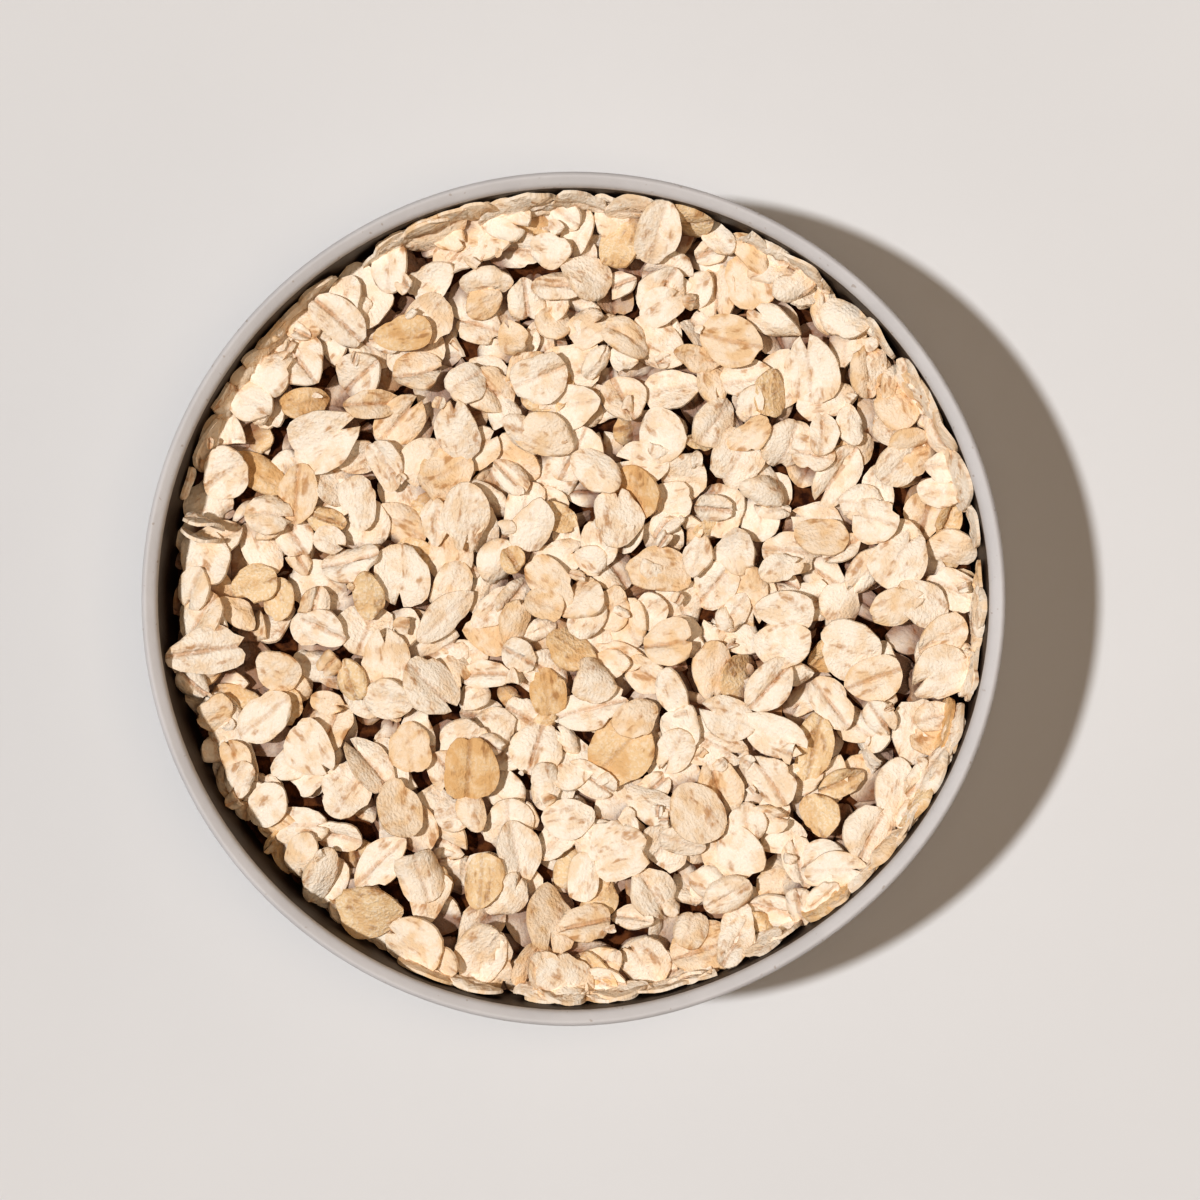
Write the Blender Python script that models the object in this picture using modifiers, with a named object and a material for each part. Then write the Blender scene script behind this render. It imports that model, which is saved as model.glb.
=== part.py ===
# A small steep-sided stoneware bowl, filled nearly to the lip with rolled oats.
# The bowl is one turned piece. The oats are one heap: a core that fills the bowl, with the flakes
# that show fused to its top. Metres, +Z up, origin under the middle of the foot.
import math

import bmesh
import bpy
import numpy as np
from mathutils import Matrix, Vector

# Bowl
RIM_RADIUS = 0.060
BOWL_HEIGHT = 0.042
WALL = 0.0022
SHOULDER_RADIUS = 0.0585    # outside, where the wall ends and the rounded corner starts
CORNER = 0.018              # radius of the rounded corner, outside
FLOOR = 0.0034
FOOT_HEIGHT = 0.0024
FOOT_RADIUS = 0.0385
FOOT_WIDTH = 0.0036
FOOT_SPLAY = 0.0006         # how far the sides of the foot ring slope outwards
ROUND_STEPS = 48            # facets round the bowl
CORNER_POINTS = 6
LIP_POINTS = 5
MERGE = 0.00001             # points of the turned shapes that meet on the axis

# Heap of oats
OATS_GAP = 0.0003           # clearance between the oats and the bowl
OATS_RADIUS = 0.0570
HEAP_LEVEL = 0.0350         # middle of the heap
HEAP_EDGE_DROP = 0.0008     # how much lower it lies along the wall
HEAP_RISE = 0.0012          # how much higher it lies towards +X and +Y
HEAP_TOP = 0.0369           # as high as a flake may stand away from the wall
LAYER_DEPTH = 0.0052        # loose flakes over the packed part of the heap
CORE_RINGS = 9              # rings in the top of the core
CORE_SINK = 0.0003          # how far the core lies under the mean height of the flakes
CORE_CORNER_POINTS = 4

# Rolled oat flakes
FLAKE_LENGTH = (0.0045, 0.0082, 0.0114)    # shortest, usual, longest
FLAKE_WIDTH_SHARE = (0.55, 0.92)
FLAKE_THICKNESS = 0.0008
FLAKE_SIDES = 8
FLAKE_CORNERS = (0.82, 1.08)               # unevenness of the outline
FLAKE_TOP_SHARE = 0.88                     # its upper face, against its lower one
FLAKE_DOME = 0.35                          # rise of the middle, against the thickness
FLAKE_COUNT = 965                          # flakes that fall
FLAKES_SHOWN = 200                         # the most exposed of them, which are made
BITE = 0.0004                              # how far flakes press into each other

# Flakes that stand up out of the heap, with their slopes in degrees
STEEP_SHARE = 0.15
STEEP_SLOPES = (22, 62)
LAST_WALL_FLAKES = 110      # the last to fall, apart from the tall ones, lean on the wall
WALL_SLOPES = (62, 86)
WALL_SIDES = (-88, -60, -30, 0, 30, 60, 88, 115, 148)    # where most lean on the wall, in degrees from +X
WALL_SPREAD = 11
WALL_YAW = 26               # how far their long sides turn from level
WALL_STAND = (0.0022, 0.0062)    # how far they stand over the level of the heap
WALL_TOP = 0.0414           # and how high the upper edge of a flake may reach there
STAND = (0.0003, 0.0017)    # how far the steep ones that stand anywhere else do, over those round them
MOST_OUT = 0.7              # as much of its height as a standing flake has out of the heap

# Flakes with an end up near the lip: where, the turn of their rise from there, their slope,
# length and width, and the height of that end
TALL_FLAKES = ((168.2, 84, 82, 0.0064, 0.0064, 0.0400), (170.8, 80, 84, 0.0060, 0.0060, 0.0394),
               (188, 0, 12, 0.0120, 0.0064, 0.0382), (77, 12, 22, 0.0112, 0.0072, 0.0402))
SEED = 11

# Grid that holds the height of the heap while flakes fall
CELL = 0.0005
HALF_CELLS = 130
EDGE_CELLS = 2
ROW = (np.arange(-HALF_CELLS, HALF_CELLS) + 0.5) * CELL
GRID_X, GRID_Y = np.meshgrid(ROW, ROW)
IN_BOWL = np.hypot(GRID_X, GRID_Y) < OATS_RADIUS
MEAN_REACH = 0.0025         # half the side of the square that a mean height is taken over

# What is tried to find where and how a flake comes to rest
PLACES_TRIED = 5
STEEPEST_REST = 0.45
SLOPE_ROUNDS = 7
SLOPE_STEP_SHARE = 0.6
UNEVEN_REST = 0.11         # spread of the slope at which a flake catches on its neighbours
COMPASS = np.array([(a, b) for a in (-1, 0, 1) for b in (-1, 0, 1)], float)


def clear_scene():
    for item in list(bpy.data.objects):
        bpy.data.objects.remove(item)


def collection(name):
    made = bpy.data.collections.new(name)
    bpy.context.scene.collection.children.link(made)
    return made


def material(name, colour, roughness):
    made = bpy.data.materials.new(name)
    made.use_nodes = True
    shader = made.node_tree.nodes["Principled BSDF"]
    shader.inputs["Base Color"].default_value = (*colour, 1)
    shader.inputs["Roughness"].default_value = roughness
    return made


def glazed_stoneware():
    return material("glazed_stoneware", (0.52, 0.49, 0.46), 0.45)


def oat():
    return material("oat", (0.80, 0.63, 0.43), 0.85)


def apply_modifiers(item):
    bpy.context.view_layer.objects.active = item
    for modifier in list(item.modifiers):
        bpy.ops.object.modifier_apply(modifier=modifier.name)


def arc(centre, radius, start, end, points):
    """Points on an arc, with angles in degrees from +X."""
    for angle in np.radians(np.linspace(start, end, points)):
        yield centre[0] + radius * math.cos(angle), centre[1] + radius * math.sin(angle)


def inner_profile(gap=0.0, corner_points=CORNER_POINTS):
    """Inside of the bowl, from the middle of its floor to the foot of its wall."""
    floor = FOOT_HEIGHT + FLOOR + gap
    corner = CORNER - WALL - gap
    wall_foot = SHOULDER_RADIUS - WALL - gap
    yield 0.0, floor
    yield from arc((wall_foot - corner, floor + corner), corner, -90, 0, corner_points)


def inner_wall_radius(height):
    """Radius of the inner wall, which opens a little from its foot up to the lip."""
    foot_radius, foot_height = list(inner_profile())[-1]
    share = (height - foot_height) / (BOWL_HEIGHT - WALL / 2 - foot_height)
    return foot_radius + share * (RIM_RADIUS - WALL - foot_radius)


def lip():
    """Rounded lip, from the inner wall over to the outer wall."""
    yield from arc((RIM_RADIUS - WALL / 2, BOWL_HEIGHT - WALL / 2), WALL / 2, 180, 0, LIP_POINTS)


def outer_profile():
    """Outside of the bowl, from the foot of its wall down to the middle of its underside."""
    yield from arc((SHOULDER_RADIUS - CORNER, FOOT_HEIGHT + CORNER), CORNER, 0, -90, CORNER_POINTS)
    yield FOOT_RADIUS, FOOT_HEIGHT
    yield FOOT_RADIUS - FOOT_SPLAY, 0.0
    yield FOOT_RADIUS - FOOT_WIDTH, 0.0
    yield FOOT_RADIUS - FOOT_WIDTH - FOOT_SPLAY, FOOT_HEIGHT
    yield 0.0, FOOT_HEIGHT


def turned(name, profile, finish, home):
    """A solid of revolution about Z, from its half section."""
    points = [(x, 0.0, z) for x, z in profile]
    mesh = bpy.data.meshes.new(name)
    mesh.from_pydata(points, [(i, i + 1) for i in range(len(points) - 1)], [])
    mesh.materials.append(finish)
    made = bpy.data.objects.new(name, mesh)
    home.objects.link(made)
    screw = made.modifiers.new("turn", "SCREW")
    screw.steps = screw.render_steps = ROUND_STEPS
    screw.use_merge_vertices = True
    screw.merge_threshold = MERGE
    return made


def make_bowl(home):
    return turned("bowl", [*inner_profile(), *lip(), *outer_profile()], glazed_stoneware(), home)


def heap_level(x, y):
    """Height of the heap's surface, before the last flakes lie on it."""
    share = np.hypot(x, y) / OATS_RADIUS
    return HEAP_LEVEL - HEAP_EDGE_DROP * share ** 4 + HEAP_RISE * (x + 0.5 * y) / OATS_RADIUS


def cell(place):
    """Row and column of the grid cell that holds a point."""
    return int(place.y // CELL) + HALF_CELLS, int(place.x // CELL) + HALF_CELLS


def outward(angle):
    """Level direction at an angle round the bowl."""
    return Vector((math.cos(angle), math.sin(angle), 0))


class Flake:
    """One rolled oat flake: its size, its outline and how it lies."""

    def __init__(self, rng):
        self.length = rng.triangular(*FLAKE_LENGTH)
        self.width = self.length * rng.uniform(*FLAKE_WIDTH_SHARE)
        self.corners = rng.uniform(*FLAKE_CORNERS, FLAKE_SIDES)
        self.yaw = rng.uniform(0, math.tau)
        self.slope = np.zeros(2)
        self.middle = Vector((0, 0, HEAP_LEVEL))
        self.shown = 0

    def turn(self):
        """Rotation that tilts the flake to its slope, after turning it by its yaw."""
        up = Vector((-self.slope[0], -self.slope[1], 1))
        return Vector((0, 0, 1)).rotation_difference(up).to_matrix() @ Matrix.Rotation(self.yaw, 3, "Z")

    def edge(self):
        """Points round the flake, as far out as any flake of its size reaches, about its middle."""
        angles = np.linspace(0, math.tau, 2 * FLAKE_SIDES, endpoint=False)
        flat = np.stack([np.cos(angles) * self.length / 2, np.sin(angles) * self.width / 2, 0 * angles])
        return np.array(self.turn()) @ flat * FLAKE_CORNERS[1]

    def below(self, *grids):
        """The grid's cells under the flake, their offsets from its middle, and what the grids hold there."""
        reach = int(self.length / 2 / CELL) + EDGE_CELLS
        row, column = cell(self.middle)
        window = (slice(row - reach, row + reach), slice(column - reach, column + reach))
        offsets = np.stack([GRID_X[window] - self.middle.x, GRID_Y[window] - self.middle.y])
        rise = np.tensordot(self.slope, offsets, 1)
        along, across, _ = np.array(self.turn()).T
        u = (np.tensordot(along[:2], offsets, 1) + rise * along[2]) / (self.length / 2)
        v = (np.tensordot(across[:2], offsets, 1) + rise * across[2]) / (self.width / 2)
        under = u ** 2 + v ** 2 < 1
        cells = np.argwhere(under) + (row - reach, column - reach)
        return cells.T, offsets[:, under], [grid[window][under] for grid in grids]

    def clear_wall(self, touch=False):
        """Moves the flake inwards until it clears the wall, or as far out if it is to touch the wall."""
        edge = self.edge()
        wall = inner_wall_radius(self.middle.z + edge[2]) * math.cos(math.pi / ROUND_STEPS) - OATS_GAP
        over = (np.hypot(edge[0] + self.middle.x, edge[1] + self.middle.y) - wall).max()
        over += FLAKE_THICKNESS / 2 * self.turn().col[2].xy.length
        if over > 0 or touch:
            self.middle.xy *= 1 - over / self.middle.xy.length

    def drop(self, rng, top):
        """Lowers the flake onto the heap, near the slope that lets its middle come lowest."""
        _, offsets, (ground,) = self.below(top)
        step = STEEPEST_REST
        for _ in range(SLOPE_ROUNDS):
            tries = np.clip(self.slope + step * COMPASS, -STEEPEST_REST, STEEPEST_REST)
            heights = (ground - tries @ offsets).max(axis=1)
            self.slope = tries[heights.argmin()]
            step *= SLOPE_STEP_SHARE
        self.slope = self.slope + rng.normal(0, UNEVEN_REST, 2)
        self.middle.z = (ground - self.slope @ offsets).max() + FLAKE_THICKNESS / 2 - BITE
        self.sink()

    def sink(self, highest=HEAP_TOP):
        """Presses the flake into the heap as far as it stands out too high."""
        self.middle.z = min(self.middle.z, highest - self.edge()[2].max())

    def lean(self, angle, degrees):
        """Tilts the flake so that it rises towards an angle round the bowl."""
        self.slope = math.tan(math.radians(degrees)) * np.array(outward(angle).xy)
        self.clear_wall()

    def stand(self, ground, height):
        """Sets a leaning flake into the heap, so that it stands out of it by a height it has room for."""
        rise = self.edge()[2].max()
        self.middle.z = ground + min(height, MOST_OUT * 2 * rise) - rise

    def settle(self, top, owner, number):
        """Adds the flake to the heights of the heap."""
        (rows, columns), offsets, _ = self.below()
        thick = FLAKE_THICKNESS / 2 * math.sqrt(1 + self.slope @ self.slope)
        surface = self.middle.z + self.slope @ offsets + thick
        higher = surface > top[rows, columns]
        top[rows[higher], columns[higher]] = surface[higher]
        owner[rows[higher], columns[higher]] = number


def random_place(rng):
    """A place anywhere in the round of the bowl."""
    return OATS_RADIUS * math.sqrt(rng.random()) * outward(rng.uniform(0, math.tau))


def mean_height(top, place):
    """Mean height of the heap round a point."""
    row, column = cell(place)
    cells = int(MEAN_REACH / CELL)
    window = (slice(row - cells, row + cells), slice(column - cells, column + cells))
    return top[window][IN_BOWL[window]].mean()


def lowest_place(rng, top):
    """The place, of a few random ones, where the heap is furthest below its level."""
    places = [random_place(rng) for _ in range(PLACES_TRIED)]
    return min(places, key=lambda place: mean_height(top, place) - heap_level(place.x, place.y))


def wall_flake(rng):
    """A flake that leans on the wall."""
    flake = Flake(rng)
    angle = math.radians(rng.normal(rng.choice(WALL_SIDES), WALL_SPREAD))
    flake.middle += OATS_RADIUS * outward(angle)
    flake.yaw = angle + math.radians(90 + rng.uniform(-WALL_YAW, WALL_YAW))
    flake.lean(angle, rng.uniform(*WALL_SLOPES))
    flake.stand(heap_level(flake.middle.x, flake.middle.y), rng.uniform(*WALL_STAND))
    flake.sink(WALL_TOP)
    flake.clear_wall(touch=True)
    return flake


def steep_flake(rng, top):
    """A flake that sticks out of the heap."""
    flake = Flake(rng)
    flake.middle += lowest_place(rng, top)
    flake.lean(rng.uniform(0, math.tau), rng.uniform(*STEEP_SLOPES))
    flake.stand(mean_height(top, flake.middle), rng.uniform(*STAND))
    flake.sink()
    flake.clear_wall()
    return flake


def tall_flake(rng, place, rise_turn, slope, length, width, height):
    """A large flake that lies with its end up at the lip."""
    flake = Flake(rng)
    flake.length = length
    flake.width = width
    flake.yaw = math.radians(place)
    flake.middle += OATS_RADIUS * outward(flake.yaw)
    flake.lean(math.radians(place + rise_turn), slope)
    flake.middle.z = height - flake.edge()[2].max()
    flake.clear_wall(touch=True)
    return flake


def flat_flake(rng, top):
    """A flake that falls flat on the heap."""
    flake = Flake(rng)
    flake.middle += lowest_place(rng, top)
    flake.clear_wall()
    flake.drop(rng, top)
    flake.clear_wall()
    return flake


def fallen_flakes():
    """The flakes of the heap in the order in which they fall, and the heights of its surface."""
    rng = np.random.default_rng(SEED)
    top = heap_level(GRID_X, GRID_Y) - LAYER_DEPTH
    owner = np.full(top.shape, -1)
    flakes = []
    for number in range(FLAKE_COUNT):
        left = FLAKE_COUNT - number
        if left <= len(TALL_FLAKES):
            flake = tall_flake(rng, *TALL_FLAKES[-left])
        elif left <= len(TALL_FLAKES) + LAST_WALL_FLAKES:
            flake = wall_flake(rng)
        elif rng.random() < STEEP_SHARE:
            flake = steep_flake(rng, top)
        else:
            flake = flat_flake(rng, top)
        flake.settle(top, owner, number)
        flakes.append(flake)
    areas = np.bincount(owner[owner >= 0], minlength=len(flakes))
    for flake, area in zip(flakes, areas):
        flake.shown = area
    return flakes, top


def make_core(top, home):
    """The packed part of the heap: it fills the bowl, and its top follows the flakes' mean height."""
    edge_height = HEAP_LEVEL - HEAP_EDGE_DROP
    edge_radius = inner_wall_radius(edge_height) - OATS_GAP
    rings = [(edge_radius * share, edge_height) for share in np.linspace(0, 1, CORE_RINGS)]
    below = list(inner_profile(OATS_GAP, CORE_CORNER_POINTS))
    core = turned("oats", rings + below[::-1], oat(), home)
    apply_modifiers(core)
    for vertex in core.data.vertices:
        on_top = vertex.co.z > edge_height - MERGE
        if on_top and vertex.co.xy.length < edge_radius - MERGE:
            vertex.co.z = mean_height(top, vertex.co) - CORE_SINK
    return core


def make_flake(flake, home):
    """A flake with few sides, a little domed and uneven."""
    shape = bmesh.new()
    bmesh.ops.create_cone(
        shape, cap_ends=True, cap_tris=True, segments=FLAKE_SIDES, radius1=1, radius2=FLAKE_TOP_SHARE, depth=1
    )
    for vertex in shape.verts:
        corner = round(math.atan2(vertex.co.y, vertex.co.x) / math.tau * FLAKE_SIDES)
        if vertex.co.xy.length < MERGE and vertex.co.z > 0:
            vertex.co.z += FLAKE_DOME
        vertex.co.xy *= flake.corners[corner % FLAKE_SIDES]
    bmesh.ops.scale(shape, verts=shape.verts, vec=(flake.length / 2, flake.width / 2, FLAKE_THICKNESS))
    shape.transform(Matrix.Translation(flake.middle) @ flake.turn().to_4x4())
    mesh = bpy.data.meshes.new("flake")
    shape.to_mesh(mesh)
    shape.free()
    home.objects.link(bpy.data.objects.new("flake", mesh))


def fuse(body, pieces):
    """Joins the pieces of a collection to a body, and removes them."""
    union = body.modifiers.new("fuse", "BOOLEAN")
    union.operation = "UNION"
    union.operand_type = "COLLECTION"
    union.collection = pieces
    union.solver = "MANIFOLD"
    apply_modifiers(body)
    for piece in list(pieces.objects):
        bpy.data.objects.remove(piece)
    bpy.data.collections.remove(pieces)


def shell_of(start):
    """All faces that hang together with a face."""
    shell = {start}
    front = [start]
    while front:
        face = front.pop()
        for edge in face.edges:
            for neighbour in edge.link_faces:
                if neighbour not in shell:
                    shell.add(neighbour)
                    front.append(neighbour)
    return shell


def keep_largest_shell(body):
    """Drops loose scraps, and the walls of hollows that the fusing sealed."""
    shape = bmesh.new()
    shape.from_mesh(body.data)
    shells = []
    left = set(shape.faces)
    while left:
        shells.append(shell_of(next(iter(left))))
        left -= shells[-1]
    largest = max(shells, key=len)
    scraps = [face for face in shape.faces if face not in largest]
    bmesh.ops.delete(shape, geom=scraps, context="FACES")
    shape.to_mesh(body.data)
    shape.free()


def make_oats(home):
    flakes, top = fallen_flakes()
    core = make_core(top, home)
    pieces = collection("flakes")
    for flake in sorted(flakes, key=lambda flake: -flake.shown)[:FLAKES_SHOWN]:
        make_flake(flake, pieces)
    fuse(core, pieces)
    keep_largest_shell(core)
    return core


def main():
    clear_scene()
    home = collection("bowl_of_oats")
    make_bowl(home)
    make_oats(home)


main()
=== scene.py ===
# A small steep-sided stoneware bowl, filled nearly to the lip with rolled oats, seen from above.
# The floor, the light and the camera are at the end. Metres, +Z up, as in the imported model.
import math

import bpy
import numpy as np
from mathutils import Matrix, Vector


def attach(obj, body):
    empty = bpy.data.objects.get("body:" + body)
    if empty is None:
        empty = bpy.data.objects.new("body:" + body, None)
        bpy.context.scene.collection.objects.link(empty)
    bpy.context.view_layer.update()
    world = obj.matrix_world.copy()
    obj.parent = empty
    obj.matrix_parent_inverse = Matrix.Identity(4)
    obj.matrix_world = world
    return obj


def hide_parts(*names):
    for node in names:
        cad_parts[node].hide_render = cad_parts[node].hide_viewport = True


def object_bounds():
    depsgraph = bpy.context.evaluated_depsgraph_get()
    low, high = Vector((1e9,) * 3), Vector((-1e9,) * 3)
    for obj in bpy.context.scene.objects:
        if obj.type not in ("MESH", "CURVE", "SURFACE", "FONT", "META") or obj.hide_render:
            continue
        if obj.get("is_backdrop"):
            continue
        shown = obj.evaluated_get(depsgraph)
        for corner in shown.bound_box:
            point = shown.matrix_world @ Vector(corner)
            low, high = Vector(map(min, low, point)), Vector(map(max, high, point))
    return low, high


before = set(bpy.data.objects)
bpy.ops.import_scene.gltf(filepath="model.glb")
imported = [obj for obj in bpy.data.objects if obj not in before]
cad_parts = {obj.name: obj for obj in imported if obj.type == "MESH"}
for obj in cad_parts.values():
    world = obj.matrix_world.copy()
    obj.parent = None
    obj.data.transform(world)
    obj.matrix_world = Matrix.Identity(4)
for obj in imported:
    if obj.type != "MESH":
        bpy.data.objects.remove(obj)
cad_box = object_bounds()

# The bowl is one piece of stoneware, thrown on the wheel and turned underneath. Its steep wall
# opens a little to a lip whose edge tips inwards. Outside and over the lip it has a matt, pale warm
# grey glaze, and the bare clay shows on the wiped foot ring. Inside, from just under the lip down,
# the wall is painted dark brown as painted shade.
RIM_RADIUS = 0.060
BOWL_HEIGHT = 0.042
WALL = 0.0022
SHOULDER_RADIUS = 0.0585    # outside, where the wall ends and the rounded corner starts
CORNER = 0.018              # radius of the rounded corner, outside
FLOOR = 0.0034
FOOT_HEIGHT = 0.0024
FOOT_RADIUS = 0.0385
FOOT_WIDTH = 0.0036
FOOT_SPLAY = 0.0006
SHOULDER_HEIGHT = FOOT_HEIGHT + CORNER
LIP_SLOPE = ((0.00206, 0.00078), (0.00188, 0.00054), (0.00164, 0.00038), (0.00124, 0.00021),
             (0.00088, 0.00008), (0.00062, 0.00000), (0.00042, 0.00007), (0.00020, 0.00028),
             (0.00004, 0.00066))
TURN_STEPS = 160
CORNER_POINTS = 14
WALL_POINTS = 13
SAME_POINT = 0.00001        # points of a turned shape that meet on its axis
THROWING_RINGS = 0.00004    # depth of the rings that the potter's fingers left
THROWING_PITCH = 0.0034
OUT_OF_ROUND = 0.0055       # share by which the lip is longer along X and shorter along Y
DENT_AT = -58               # where the potter's hand pressed the lip in, in degrees from +X
DENT = 0.0007
DENT_REACH = 0.034
EDGE_ROUNDING = 0.00035
ROUNDED_FROM = 40           # degrees between two faces whose edge gets rounded
# Painted shade inside: from the top of the lip down to where the dark brown starts
PAINTED_SHADE_BELOW = (0.0011, 0.0018)    # from the top of the lip down to where the dark glaze starts
BARE_BELOW = (0.0013, 0.0009)    # height of the edge of the bare clay on the foot ring


def deselect():
    """Nothing selected, so that the next operator acts on new faces alone."""
    if bpy.context.object and bpy.context.object.mode != "OBJECT":
        bpy.ops.object.mode_set(mode="OBJECT")
    bpy.ops.object.select_all(action="DESELECT")


def arc(centre, radius, start, end, points):
    """Points on an arc, with angles in degrees from +X."""
    for angle in np.radians(np.linspace(start, end, points)):
        yield centre[0] + radius * math.cos(angle), centre[1] + radius * math.sin(angle)


def wall(low, high):
    """Points up a thrown wall, between its two ends, with the rings of the throwing in it."""
    for share in np.linspace(0, 1, WALL_POINTS)[1:-1]:
        radius, height = (1 - share) * np.array(low) + share * np.array(high)
        yield radius + THROWING_RINGS * math.sin(math.tau * height / THROWING_PITCH), height


def inner_profile(gap=0.0):
    """Inside of the bowl, from the middle of its floor to the foot of its wall."""
    floor = FOOT_HEIGHT + FLOOR + gap
    corner = CORNER - WALL - gap
    wall_foot = SHOULDER_RADIUS - WALL - gap
    yield 0.0, floor
    yield from arc((wall_foot - corner, floor + corner), corner, -90, 0, CORNER_POINTS)


def inner_wall_radius(height):
    """Radius of the inner wall, which opens a little from its foot up to the lip."""
    foot_radius, foot_height = list(inner_profile())[-1]
    share = (height - foot_height) / (BOWL_HEIGHT - WALL / 2 - foot_height)
    return foot_radius + share * (RIM_RADIUS - WALL - foot_radius)


def bowl_profile():
    """Half section of the bowl, from the middle of its floor over the lip to its underside."""
    inside = list(inner_profile())
    lip = [(RIM_RADIUS - inwards, BOWL_HEIGHT - down) for inwards, down in LIP_SLOPE]
    lip = [(RIM_RADIUS - WALL, BOWL_HEIGHT - WALL / 2), *lip, (RIM_RADIUS, BOWL_HEIGHT - WALL / 2)]
    outside = list(arc((SHOULDER_RADIUS - CORNER, SHOULDER_HEIGHT), CORNER, 0, -90, CORNER_POINTS))
    yield from inside
    yield from wall(inside[-1], lip[0])
    yield from lip
    yield from wall(lip[-1], outside[0])
    yield from outside
    yield FOOT_RADIUS, FOOT_HEIGHT
    yield FOOT_RADIUS - FOOT_SPLAY, 0.0
    yield FOOT_RADIUS - FOOT_WIDTH, 0.0
    yield FOOT_RADIUS - FOOT_WIDTH - FOOT_SPLAY, FOOT_HEIGHT
    yield 0.0, FOOT_HEIGHT


def turned(name, profile, steps=TURN_STEPS):
    """A piece turned about Z: its half section is drawn point by point, and spun."""
    points = [Vector((x, 0, z)) for x, z in profile]
    deselect()
    bpy.ops.mesh.primitive_plane_add(size=WALL, location=points[0])
    piece = bpy.context.object
    piece.name = piece.data.name = name
    bpy.ops.object.mode_set(mode="EDIT")
    bpy.ops.mesh.merge(type="CENTER")
    for before, after in zip(points, points[1:]):
        bpy.ops.mesh.extrude_region_move(TRANSFORM_OT_translate={"value": after - before})
    bpy.ops.mesh.select_all(action="SELECT")
    bpy.ops.mesh.spin(steps=steps, angle=math.tau, center=(0, 0, 0), axis=(0, 0, 1))
    bpy.ops.mesh.select_all(action="SELECT")
    bpy.ops.mesh.remove_doubles(threshold=SAME_POINT)
    bpy.ops.mesh.normals_make_consistent(inside=False)
    bpy.ops.object.mode_set(mode="OBJECT")
    bpy.ops.object.transform_apply(location=True, rotation=True, scale=True)
    return piece


def select_vertices(piece, chosen):
    """Selects the vertices of a piece for which chosen(place) is true, and enters edit mode."""
    bpy.ops.object.mode_set(mode="EDIT")
    bpy.ops.mesh.select_mode(type="VERT")
    bpy.ops.mesh.select_all(action="DESELECT")
    bpy.ops.object.mode_set(mode="OBJECT")
    for vertex in piece.data.vertices:
        vertex.select = chosen(vertex.co)
    bpy.ops.object.mode_set(mode="EDIT")


bowl = turned("stoneware_bowl", bowl_profile())
select_vertices(bowl, lambda place: place.z > BOWL_HEIGHT - WALL)
bpy.ops.transform.resize(
    value=(1 + OUT_OF_ROUND, 1 - OUT_OF_ROUND, 1), center_override=(0, 0, BOWL_HEIGHT),
    use_proportional_edit=True, proportional_edit_falloff="SMOOTH", proportional_size=BOWL_HEIGHT)
press = Vector((math.cos(math.radians(DENT_AT)), math.sin(math.radians(DENT_AT)), 0))
pressed_edge = RIM_RADIUS * press + Vector((0, 0, BOWL_HEIGHT))
select_vertices(bowl, lambda place: (place - pressed_edge).length < 2 * WALL)
bpy.ops.transform.translate(
    value=-DENT * press, use_proportional_edit=True, proportional_edit_falloff="SMOOTH",
    proportional_size=DENT_REACH)
bpy.ops.object.mode_set(mode="OBJECT")
rounding = bowl.modifiers.new("rounding", "BEVEL")
rounding.width = EDGE_ROUNDING
rounding.segments = 2
rounding.limit_method = "ANGLE"
rounding.angle_limit = math.radians(ROUNDED_FROM)
bpy.ops.object.modifier_apply(modifier="rounding")
bpy.ops.object.shade_smooth()


def srgb(red, green, blue):
    """A colour as a screen shows it, 0 to 255, made linear for a shader."""
    shares = (channel / 255 for channel in (red, green, blue))
    return (*(s / 12.92 if s <= 0.04045 else ((s + 0.055) / 1.055) ** 2.4 for s in shares), 1)


class Wire:
    """A socket of a finish, with sums and products that add Math nodes."""

    def __init__(self, finish, socket):
        self.finish = finish
        self.socket = socket

    def maths(self, operation, *numbers, clamp=False):
        settings = {"operation": operation, "use_clamp": clamp}
        return self.finish.node("ShaderNodeMath", settings, dict(enumerate(numbers)))

    def __add__(self, other):
        return self.maths("ADD", self, other)

    def __sub__(self, other):
        return self.maths("SUBTRACT", self, other)

    def __rsub__(self, other):
        return self.maths("SUBTRACT", other, self)

    def __mul__(self, other):
        return self.maths("MULTIPLY", self, other)

    def __abs__(self):
        return self.maths("ABSOLUTE", self)

    __radd__ = __add__
    __rmul__ = __mul__

    def over_zero(self):
        """The value where it is over 0, and 0 elsewhere."""
        return self.maths("MAXIMUM", self, 0)

    def limited(self):
        """The value, held between 0 and 1."""
        return self.maths("ADD", self, 0, clamp=True)

    def between(self, low, high):
        """0 below low, 1 above high and a smooth rise between, or a fall if low is over high."""
        inputs = {"Value": self, "From Min": low, "From Max": high}
        return self.finish.node("ShaderNodeMapRange", {"interpolation_type": "SMOOTHSTEP"}, inputs)


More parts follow.
